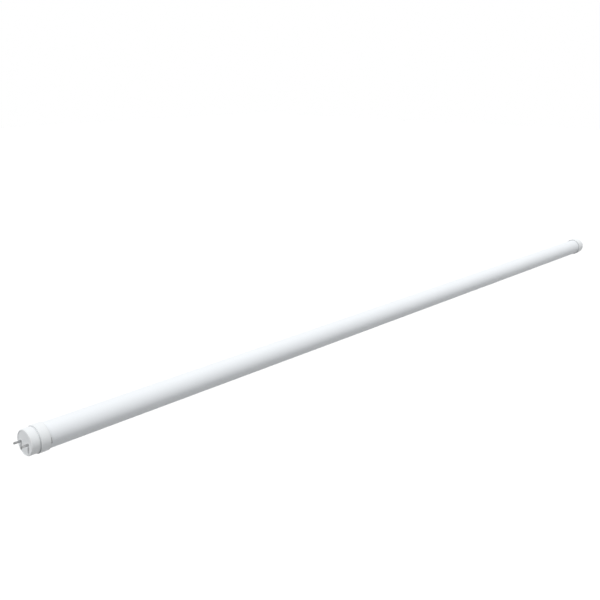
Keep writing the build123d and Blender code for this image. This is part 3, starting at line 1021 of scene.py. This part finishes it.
def findLeads():
    # middles of the leads that come out under the driver board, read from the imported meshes
    groups = []
    for name in leads["pieces"]:
        for vertex in nodes[name].data.vertices:
            if vertex.co.z > driver["boardUnder"] - leads["underBoard"]:
                continue
            flat = Vector((vertex.co.x, vertex.co.y, 0.0))
            home = next((g for g in groups if (g[0] - flat).length < leads["width"]), None)
            if home is None:
                groups.append([flat])
            else:
                home.append(flat)
    middles = []
    for group in groups:
        lowX, highX = min(p.x for p in group), max(p.x for p in group)
        lowY, highY = min(p.y for p in group), max(p.y for p in group)
        middles.append(((lowX + highX) / 2, (lowY + highY) / 2, driver["boardUnder"]))
    return middles


def growSolder():
    # a cone of solder with hollow flanks round each lead
    tree, size, output = newTree("solderJoints", solder)
    cone = wire(
        tree, "GeometryNodeMeshCone",
        {
            "Radius Top": size["TipRadius"],
            "Radius Bottom": size["FootRadius"],
            "Depth": size["Height"],
        },
        {"Vertices": 16, "Side Segments": 5}, {"fill_type": "NGON"},
    )
    place = wire(tree, "GeometryNodeInputPosition")
    axes = wire(tree, "ShaderNodeSeparateXYZ", {"Vector": place.outputs[0]}).outputs
    along = calc(tree, "DIVIDE", axes["Z"], size["Height"])
    arch = times(tree, along, minus(tree, 1.0, along))
    waist = minus(tree, 1.0, times(tree, arch, size["Hollow"]))
    across = wire(tree, "ShaderNodeCombineXYZ", {
        "X": times(tree, axes["X"], waist),
        "Y": times(tree, axes["Y"], waist),
        "Z": axes["Z"],
    })
    hollowed = wire(
        tree, "GeometryNodeSetPosition",
        {"Geometry": cone.outputs[0], "Position": across.outputs[0]},
    )
    hanging = wire(
        tree, "GeometryNodeTransform",
        {"Geometry": hollowed.outputs[0]}, {"Rotation": (math.pi, 0.0, 0.0)},
    )
    placed = wire(
        tree, "GeometryNodeInstanceOnPoints",
        {"Points": size["Geometry"], "Instance": hanging.outputs[0]},
    )
    finishTree(tree, placed.outputs[0], output, tinned)
    return growPiece("solderJoints", tree, solder, findLeads())


for piece in (growLedWindows(), growChokeWire(), growSolder()):
    print(piece.name, len(piece.data.polygons), "faces")


# a bead of silicone at the near cap's edge, on the camera's side only; its dark grey is painted
# shadow, standing in for the shadow the skirt casts on the tube

# the bead lies where the skirt's shadow falls on the tube; its dark grey is painted shadow
bead = {
    "start": 17.0,            # degrees above the horizontal
    "end": -16.0,
    "height": 0.85 * mm,      # over the glass
    "radius": 0.55 * mm,
    "slant": 0.9 * mm,        # further from the skirt at its lower end
    "taper": 0.08,            # share of its swell that each end lacks
    "lumps": 9.0,
    "lumpHeight": 0.08,       # share of the radius
    "stations": 15,
    "sides": 10,
}


def beadPoint(along, turn):
    # a point of the bead's skin, at a share of its length and an angle round its own middle
    sweep = math.sin(math.pi * (bead["taper"] + (1 - 2 * bead["taper"]) * along))
    lump = 1 + bead["lumpHeight"] * math.sin(bead["lumps"] * along)
    skin = bead["radius"] * math.sqrt(sweep) * lump
    edgeX = -lamp["halfLength"] + lamp["capLength"] + bead["radius"]
    x = edgeX + bead["slant"] * (along - 0.5) + skin * math.cos(turn)
    r = lamp["tubeRadius"] + bead["height"] - bead["radius"] + skin * math.sin(turn)
    angle = math.radians(bead["start"] + (bead["end"] - bead["start"]) * along)
    return x, -r * math.cos(angle), r * math.sin(angle)


def placeShadowBead():
    last, sides = bead["stations"] - 1, bead["sides"]
    points = [
        beadPoint(i / last, 2 * math.pi * j / sides)
        for i in range(bead["stations"]) for j in range(sides)
    ]
    faces = []
    for i in range(last):
        a, b = i * sides, (i + 1) * sides
        for j in range(sides):
            k = (j + 1) % sides
            faces.append((a + j, a + k, b + k, b + j))
    faces.append(tuple(reversed(range(sides))))
    faces.append(tuple(last * sides + j for j in range(sides)))
    mesh = bpy.data.meshes.new("paintedShadowBead")
    mesh.from_pydata(points, [], faces)
    mesh.shade_smooth()
    mesh.materials.append(shadowGreySilicone)
    piece = bpy.data.objects.new("paintedShadowBead", mesh)
    bpy.context.collection.objects.link(piece)
    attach(piece, "root")


placeShadowBead()
print("bead squeezed out")
